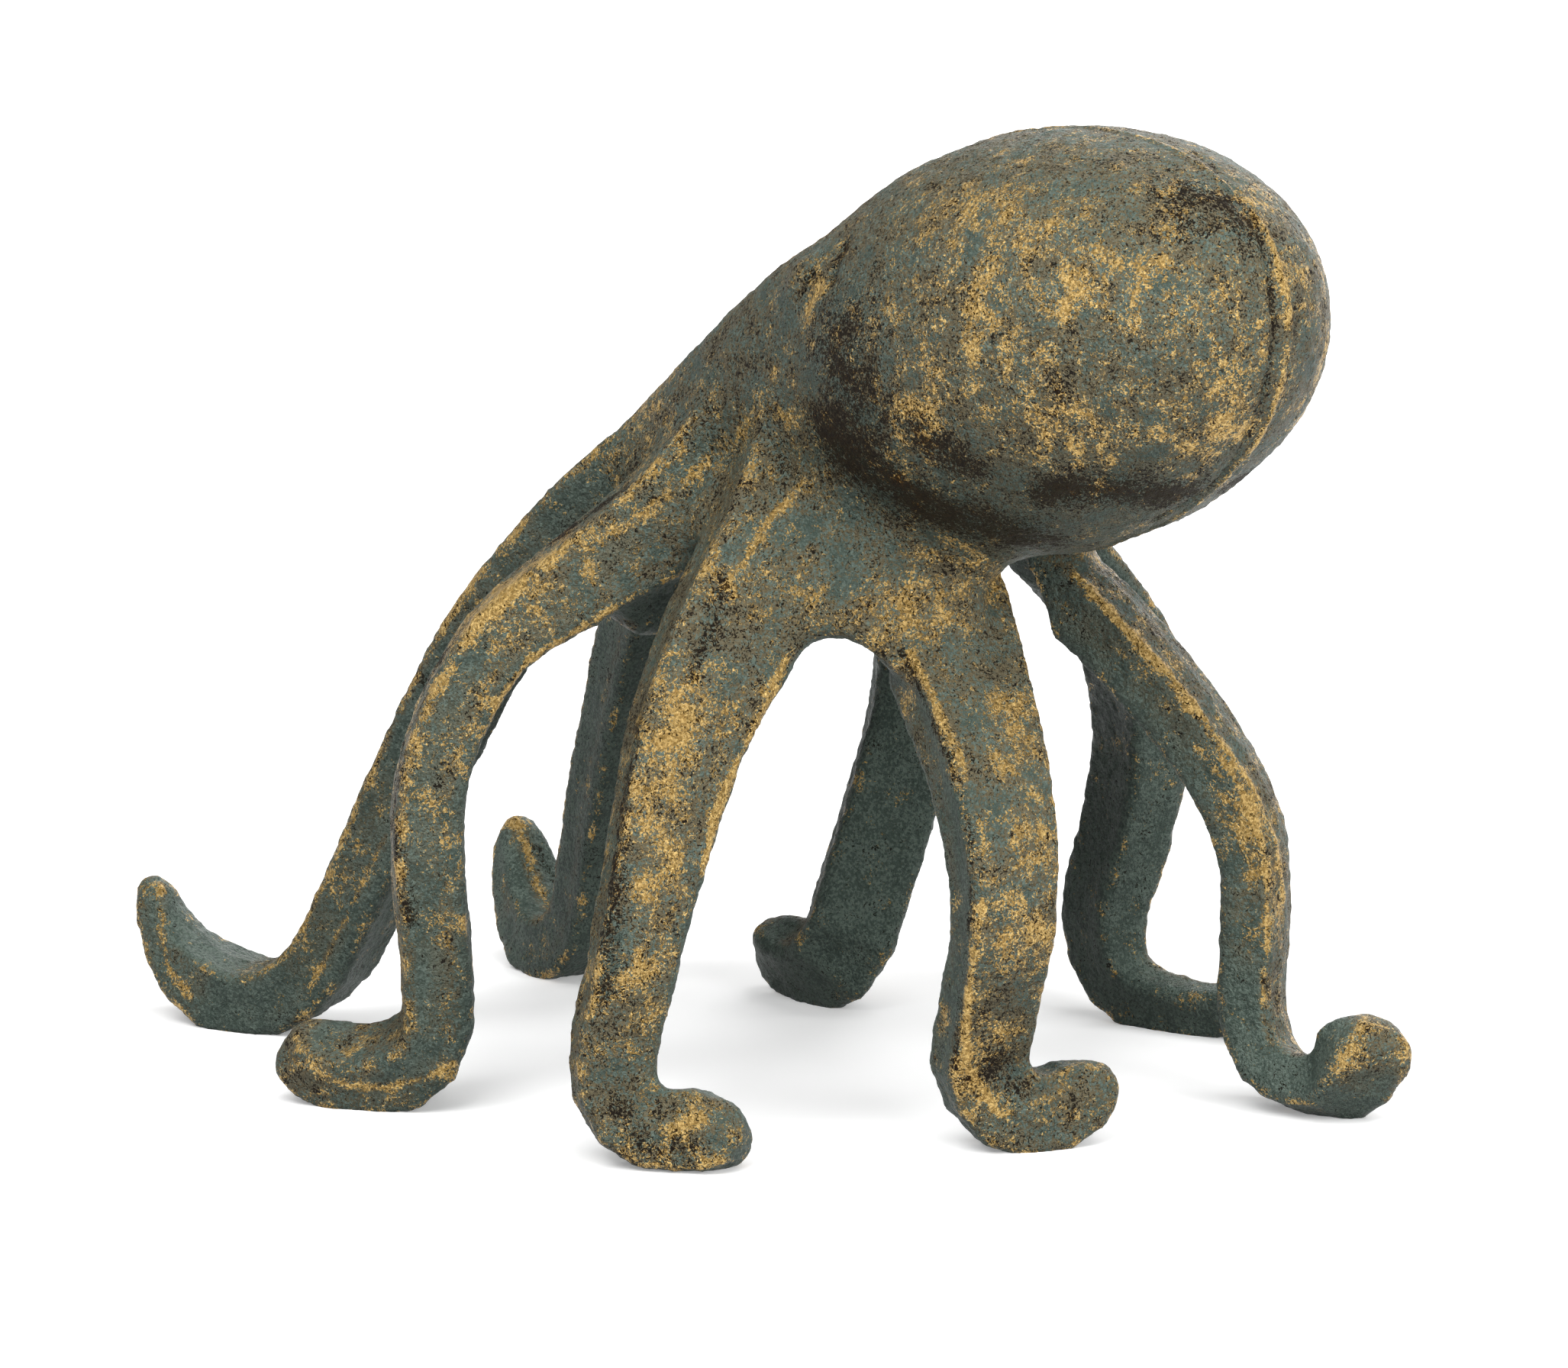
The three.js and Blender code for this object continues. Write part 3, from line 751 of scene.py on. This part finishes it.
    rise = w.math("ADD", relief("Lump Size", "Lump Height"), relief("Grain Size", "Grain Height"))
    rise = w.math("MULTIPLY_ADD", relief("Nick Size", "Nick Height"), on_limbs, rise)
    rise = w.math("MULTIPLY_ADD", seam, given["Seam Height"], rise)
    rise = w.math("SUBTRACT", rise, named("cut"))
    skin = moved(skin, Offset=w.scaled(normal, rise))
    skin = moved(skin, Position=w.vector("MAXIMUM", place, LOWEST_PLACE))
    skin = w.add("GeometryNodeRealizeInstances", {"Geometry": skin}).outputs["Geometry"]
    painted = w.add("GeometryNodeSetMaterial", {"Geometry": skin, "Material": given["Finish"]})
    w.add("NodeGroupOutput", {"Geometry": painted.outputs["Geometry"]})
    return tree


def web_axis():
    """A point on the axis that the arms spread from: the middle of the head, seen from above."""
    low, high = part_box("head")
    return ((low.x + high.x) / 2, low.y + (high.x - low.x) / 2, 0.0)


def node_middle(name):
    """The middle of a node's box."""
    low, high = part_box(name)
    return tuple((low + high) / 2)


def plain_mesh(name, points, faces):
    """A mesh from arrays, with smooth faces."""
    mesh = bpy.data.meshes.new(name)
    mesh.from_pydata(points, [], faces)
    mesh.polygons.foreach_set("use_smooth", np.ones(len(faces), bool))
    mesh.update()
    return mesh


def facing_out(points, quads):
    """The quads in the order that makes them face out of the body."""
    a, b, c, d = (points[quads[:, k]] for k in range(4))
    volume = np.einsum("ij,ij->", np.cross(c - a, d - b), (a + b + c + d))
    return quads if volume > 0 else quads[:, ::-1]


def make_surface(settings, stage, material):
    """The finished cast skin, kept as a mesh that the pieces are cut from."""
    points, quads = fused_skin(settings)
    quads = facing_out(points, quads)
    mesh = plain_mesh(SURFACE, points, quads)
    away = np.stack([node_distance(points, name) for name in NODES])
    label = away.argmin(axis=0)
    kinds = np.array([SOFTNESS[name.split("_")[0]] for name in NODES])
    middle = node_middle("mantle")[0]
    left_side = np.column_stack([middle + np.abs(points[:, 0] - middle), points[:, 1:]])
    single = stroke_marks(points, STROKES, stage)
    double = stroke_marks(left_side, MANTLE_STROKES, stage)
    gold, wash, _ = np.maximum(single, double)
    marks = {
        "softness": spread_out(kinds[label], quads),
        "rub": gold,
        "wash": wash,
        "cut": single[2] + double[2],
    }
    for name, values in marks.items():
        mesh.attributes.new(name, "FLOAT", "POINT").data.foreach_set("value", values.astype(np.float32))
    to_body = away[[NODES.index(name) for name in NECK]].min(axis=0)
    rooted = np.isin(label, [NODES.index(name) for name in ARMS]) & (to_body < settings.root_reach)
    label[rooted] = NODES.index("head")
    number = mesh.attributes.new("node", "INT", "FACE")
    number.data.foreach_set("value", even_labels(quads, np.sort(label[quads], axis=1)[:, 1]))
    blank = bpy.data.objects.new(SURFACE, mesh)
    bpy.context.scene.collection.objects.link(blank)
    modifier = blank.modifiers.new("sand_casting", "NODES")
    modifier.node_group = surface_tree(settings, material)
    depsgraph = bpy.context.evaluated_depsgraph_get()
    finished = bpy.data.meshes.new_from_object(blank.evaluated_get(depsgraph), depsgraph=depsgraph)
    bpy.data.objects.remove(blank)
    bpy.data.meshes.remove(mesh)
    finished.name = SURFACE


# Pieces cut from the cast surface


def cut_piece(node, material):
    """The part of the cast surface that lies on one node, closed where it was cut."""
    whole = bpy.data.meshes[SURFACE]
    points = read(whole.vertices, "co", np.float32, 3)
    normals = read(whole.vertex_normals, "vector", np.float32, 3)
    quads = read(whole.loops, "vertex_index", np.int32).reshape(-1, 4)
    label = read(whole.attributes["node"].data, "value", np.int32)
    used, corners = np.unique(quads[label == NODES.index(node)], return_inverse=True)
    mesh = plain_mesh(node + "_skin", points[used], corners.reshape(-1, 4))
    for name in MARKS:
        values = read(whole.attributes[name].data, "value", np.float32)[used]
        mesh.attributes.new(name, "FLOAT", "POINT").data.foreach_set("value", values)
    seam = ()
    if node in NECK:
        seam = np.nonzero(np.isin(used, quads[label == NODES.index(NECK[node])]))[0]
    added = close_rims(mesh, set(seam))
    mesh.normals_split_custom_set_from_vertices(np.concatenate([normals[used], added]))
    mesh.materials.append(material)
    piece = bpy.data.objects.new(node + "_skin", mesh)
    bpy.context.scene.collection.objects.link(piece)
    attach(piece, BODY)
    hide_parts(node)
    return piece


def open_rims(work):
    """The open edges of a mesh, as a list for each rim."""
    taken = set()
    rims = []
    for first in work.edges:
        if not first.is_boundary or first in taken:
            continue
        rim = [first]
        taken.add(first)
        for edge in rim:
            beside = [e for vert in edge.verts for e in vert.link_edges if e.is_boundary and e not in taken]
            taken.update(beside)
            rim.extend(beside)
        rims.append(rim)
    return rims


def close_rims(mesh, seam):
    """Closes a piece: a ring between the two rims that touch the seam, and a cone over every other rim.

    Rims that meet in one point are parted first. Gives the normals of the points that were added.
    """
    work = bmesh.new()
    work.from_mesh(mesh)
    added = []
    for vert in list(work.verts):
        touching = [edge for edge in vert.link_edges if edge.is_boundary]
        if len(touching) > 2:
            copies = bmesh.utils.vert_separate(vert, touching)
            added.extend(tuple(vert.normal) for _ in copies[1:])
    rims = open_rims(work)
    neck = [rim for rim in rims if any(edge.verts[0].index in seam for edge in rim)]
    neck = sorted(neck, key=len)[-2:]
    if len(neck) == 2:
        rims = [rim for rim in rims if rim not in neck]
        ring = bmesh.ops.bridge_loops(work, edges=neck[0] + neck[1])["faces"]
        if any(not edge.is_contiguous for edge in neck[0]):
            bmesh.ops.reverse_faces(work, faces=ring)
    for rim in rims:
        middle = sum((vert.co for edge in rim for vert in edge.verts), Vector()) / (2 * len(rim))
        tip = work.verts.new(middle)
        added.append(UP)
        for edge in rim:
            loop = edge.link_loops[0]
            work.faces.new((loop.link_loop_next.vert, loop.vert, tip)).smooth = True
    work.to_mesh(mesh)
    work.free()
    return np.array(added, np.float32).reshape(-1, 3)


# Finish


def finish_group():
    """Node group of the painted finish: green paint, brown glaze, dark wash in pits, painted shade in hollows
    and under the shade strokes, gold on the grains.
    """
    group = bpy.data.node_groups.new("rubbed_paint", "ShaderNodeTree")
    values = [mark.title() for mark in MARKS] + ["Extra Gold"]
    colours = ["Verdigris", "Deep Verdigris", "Glaze", "Dark Wash", "Gold", "Deep Gold", "Stain"]
    group.interface.new_socket("Place", in_out="INPUT", socket_type="NodeSocketVector")
    for name in values:
        group.interface.new_socket(name, in_out="INPUT", socket_type="NodeSocketFloat")
    for name in colours:
        group.interface.new_socket(name, in_out="INPUT", socket_type="NodeSocketColor")
    group.interface.new_socket("Colour", in_out="OUTPUT", socket_type="NodeSocketColor")
    for name in ("Gilding", "Dullness", "Grain"):
        group.interface.new_socket(name, in_out="OUTPUT", socket_type="NodeSocketFloat")
    w = Wiring(group)
    given = w.add("NodeGroupInput").outputs
    close = w.scaled(given["Place"], FINE)
    parts = {mark: given[mark.title()] for mark in MARKS}
    parts.update({name: w.swing(noise, close, FINE) for name, noise in FINE_NOISES.items()})
    parts.update({name: w.swing(noise, given["Place"], 1.0) for name, noise in BROAD_NOISES.items()})

    def total(shares, value=0.0):
        """A sum of marks and noises, each with its share."""
        for name, share in shares.items():
            value = w.math("MULTIPLY_ADD", parts[name], share, value)
        return value

    def layer(kind, start=0.0):
        """How strong a layer of the finish is."""
        return w.ramp(total(kind.shares, start), kind.low, kind.high, 0.0, kind.most)

    rubbed = w.math("MULTIPLY", parts["rub"], RUB_WIPE, clamp=True)
    parts["wiped"] = w.math("MAXIMUM", parts["shown"], rubbed)
    parts["wash_and_shade_cover"] = layer(DARK_WASH_AND_SHADE)
    gilding = layer(RUBBED_GOLD, given["Extra Gold"])
    darkness = layer(DARK_PITS_AND_SHADE)
    green = w.mix(layer(LIGHT_GREEN), given["Deep Verdigris"], given["Verdigris"])
    paint = w.mix(w.math("MULTIPLY", layer(BROWN_GLAZE), parts["wiped"]), green, given["Glaze"])
    metal = w.mix(layer(GOLD_TONE_AND_GLINTS), given["Deep Gold"], given["Gold"])
    bare = w.mix(darkness, w.mix(gilding, paint, metal), given["Dark Wash"])
    # Dark wash and painted shade, laid over everything as a tint
    tint = w.mix(parts["wash_and_shade_cover"], WHITE, given["Stain"])
    w.add("NodeGroupOutput", {
        "Colour": w.vector("MULTIPLY", bare, tint),
        "Gilding": gilding,
        "Dullness": w.math("MAXIMUM", darkness, parts["wash_and_shade_cover"]),
        "Grain": total(GRAIN_SHARES),
    })
    return group


def finish_material(name, group, settings, extra):
    """Painted cast iron, with its own share of gold."""
    material = bpy.data.materials.new(name)
    material.use_nodes = True
    material.node_tree.nodes.clear()
    w = Wiring(material.node_tree)

    def mark(attribute):
        """What the piece's points say under a name."""
        return w.add("ShaderNodeAttribute", attribute_name=attribute).outputs["Fac"]

    paint = w.add("ShaderNodeGroup", node_tree=group)
    links = {"Place": w.add("ShaderNodeTexCoord").outputs["Object"]}
    links.update({attribute.title(): mark(attribute) for attribute in MARKS})
    for key, socket in links.items():
        w.tree.links.new(socket, paint.inputs[key])
    paint.inputs["Extra Gold"].default_value = extra
    colours = {
        "Verdigris": settings.verdigris,
        "Deep Verdigris": settings.verdigris_deep,
        "Glaze": settings.glaze,
        "Dark Wash": settings.wash,
        "Gold": settings.gold,
        "Deep Gold": settings.gold_deep,
        "Stain": settings.wash_and_shade_tint,
    }
    for key, values in colours.items():
        paint.inputs[key].default_value = colour(values)
    gilding = paint.outputs["Gilding"]
    rough = w.ramp(gilding, 0.0, 1.0, settings.paint_roughness, settings.gold_roughness)
    grain = w.add("ShaderNodeBump", {
        "Height": paint.outputs["Grain"], "Strength": 1.0, "Distance": settings.grain_depth,
    })
    shader = w.add("ShaderNodeBsdfPrincipled", {
        "Base Color": paint.outputs["Colour"],
        "Metallic": w.math("MULTIPLY", gilding, settings.gold_metal),
        "Roughness": w.math("MULTIPLY_ADD", paint.outputs["Dullness"], settings.wash_roughness, rough),
        "Specular IOR Level": settings.gloss,
        "Normal": grain.outputs["Normal"],
    })
    w.add("ShaderNodeOutputMaterial", {"Surface": shader.outputs["BSDF"]})
    return material


# Stage


def camera_frame(settings):
    """The camera's place, and the ways to its right, up and back."""
    azimuth, elevation = settings.azimuth, settings.elevation
    back = Vector((
        math.sin(azimuth) * math.cos(elevation),
        -math.cos(azimuth) * math.cos(elevation),
        math.sin(elevation),
    ))
    right = Vector((math.cos(azimuth), math.sin(azimuth), 0.0))
    return Vector(settings.aim) + back * settings.distance, right, back.cross(right), back


def make_camera(settings):
    """A camera at the photograph's viewing angle."""
    place, _, _, back = camera_frame(settings)
    data = bpy.data.cameras.new("camera")
    data.sensor_width = SENSOR_WIDTH
    data.lens = FOCAL_PIXELS / PHOTO_WIDTH * SENSOR_WIDTH
    data.clip_end = CAMERA_REACH
    camera = bpy.data.objects.new("camera", data)
    camera.location = place
    camera.rotation_mode = "QUATERNION"
    camera.rotation_quaternion = (-back).to_track_quat("-Z", "Y")
    bpy.context.scene.collection.objects.link(camera)
    bpy.context.scene.camera = camera


def make_floor(settings):
    """A wide pale floor."""
    mesh = bpy.data.meshes.new("floor")
    work = bmesh.new()
    bmesh.ops.create_circle(work, cap_ends=True, radius=settings.floor_radius, segments=FLOOR_SIDES)
    work.to_mesh(mesh)
    work.free()
    floor = bpy.data.objects.new("floor", mesh)
    bpy.context.scene.collection.objects.link(floor)
    material = bpy.data.materials.new("pale_floor")
    material.use_nodes = True
    material.node_tree.nodes.clear()
    w = Wiring(material.node_tree)
    path = w.add("ShaderNodeLightPath").outputs
    seen = w.math("MAXIMUM", path["Is Camera Ray"], path["Is Glossy Ray"])
    shade = w.mix(seen, colour(settings.floor_bounce), colour(settings.floor))
    matte = w.add("ShaderNodeBsdfDiffuse", {"Color": shade}).outputs["BSDF"]
    place = w.add("ShaderNodeTexCoord").outputs["Object"]
    away = w.add("ShaderNodeVectorMath", {0: place}, operation="LENGTH").outputs["Value"]
    haze = w.math("MULTIPLY", seen, w.ramp(away, *settings.glow_reach, *settings.floor_glow))
    glow = w.add("ShaderNodeEmission", {"Color": WHITE, "Strength": haze})
    both = w.add("ShaderNodeAddShader", {0: matte, 1: glow.outputs["Emission"]})
    w.add("ShaderNodeOutputMaterial", {"Surface": both.outputs["Shader"]})
    mesh.materials.append(material)


def make_light(lamp):
    """A square soft light that looks at the middle of the object."""
    data = bpy.data.lights.new(lamp.name, "AREA")
    data.shape = "SQUARE"
    data.size = lamp.width
    data.energy = lamp.power
    light = bpy.data.objects.new(lamp.name, data)
    light.location = lamp.place
    middle = (CAD_BOX[0] + CAD_BOX[1]) / 2
    light.rotation_mode = "QUATERNION"
    light.rotation_quaternion = (middle - Vector(lamp.place)).to_track_quat("-Z", "Y")
    bpy.context.scene.collection.objects.link(light)


def make_world(settings):
    """An even white surround."""
    world = bpy.data.worlds.new("surround")
    world.use_nodes = True
    background = world.node_tree.nodes["Background"]
    background.inputs["Color"].default_value = WHITE
    background.inputs["Strength"].default_value = settings.surround
    bpy.context.scene.world = world


# Operators


class OCTOPUS_OT_surface(bpy.types.Operator):
    """Fuses the frame's nodes into one cast skin and makes its finish"""

    bl_idname = "octopus.surface"
    bl_label = "Cast Surface"

    def execute(self, context):
        scene = context.scene
        finish = scene.octopus_finish
        group = finish_group()
        material = finish_material("painted_casting", group, finish, 0.0)
        finish_material("painted_lid", group, finish, finish.lid_gold)
        make_surface(scene.octopus_casting, scene.octopus_stage, material)
        return {"FINISHED"}


class OCTOPUS_OT_body(bpy.types.Operator):
    """Cuts the mantle and the head from the cast skin"""

    bl_idname = "octopus.body"
    bl_label = "Mantle and Head"

    def execute(self, context):
        for node in ("mantle", "head"):
            cut_piece(node, bpy.data.materials["painted_casting"])
        return {"FINISHED"}


class OCTOPUS_OT_eyes(bpy.types.Operator):
    """Cuts the two eye lids from the cast skin"""

    bl_idname = "octopus.eyes"
    bl_label = "Eye Lids"

    def execute(self, context):
        for node in EYES:
            cut_piece(node, bpy.data.materials["painted_lid"])
        return {"FINISHED"}


class OCTOPUS_OT_arms(bpy.types.Operator):
    """Cuts the eight arms from the cast skin"""

    bl_idname = "octopus.arms"
    bl_label = "Arms"

    def execute(self, context):
        for node in ARMS:
            cut_piece(node, bpy.data.materials["painted_casting"])
        return {"FINISHED"}


class OCTOPUS_OT_stage(bpy.types.Operator):
    """Makes the floor, the lights and the camera"""

    bl_idname = "octopus.stage"
    bl_label = "Stage"

    def execute(self, context):
        settings = context.scene.octopus_stage
        make_floor(settings)
        make_world(settings)
        for lamp in LAMPS:
            make_light(lamp)
        make_camera(settings)
        context.scene.view_settings.view_transform = "Standard"
        return {"FINISHED"}


OPERATORS = (OCTOPUS_OT_surface, OCTOPUS_OT_body, OCTOPUS_OT_eyes, OCTOPUS_OT_arms, OCTOPUS_OT_stage)


class OCTOPUS_PT_panel(bpy.types.Panel):
    """Lists the steps that dress the octopus"""

    bl_label = "Octopus"
    bl_space_type = "VIEW_3D"
    bl_region_type = "UI"
    bl_category = "Octopus"

    def draw(self, context):
        for operator in OPERATORS:
            self.layout.operator(operator.bl_idname)


SETTINGS = {
    "octopus_casting": CastingSettings,
    "octopus_finish": FinishSettings,
    "octopus_stage": StageSettings,
}
CLASSES = tuple(SETTINGS.values()) + OPERATORS + (OCTOPUS_PT_panel,)


def register():
    """Makes the settings, the steps and the panel known to Blender."""
    for each in CLASSES:
        bpy.utils.register_class(each)
    for name, kind in SETTINGS.items():
        setattr(bpy.types.Scene, name, bpy.props.PointerProperty(type=kind))


def unregister():
    """Takes them out again."""
    for name in SETTINGS:
        delattr(bpy.types.Scene, name)
    for each in reversed(CLASSES):
        bpy.utils.unregister_class(each)


def main():
    """Runs every step."""
    register()
    bpy.ops.octopus.surface()
    bpy.ops.octopus.body()
    bpy.ops.octopus.eyes()
    bpy.ops.octopus.arms()
    bpy.ops.octopus.stage()
    bpy.data.meshes.remove(bpy.data.meshes[SURFACE])


if __name__ == "__main__":
    main()
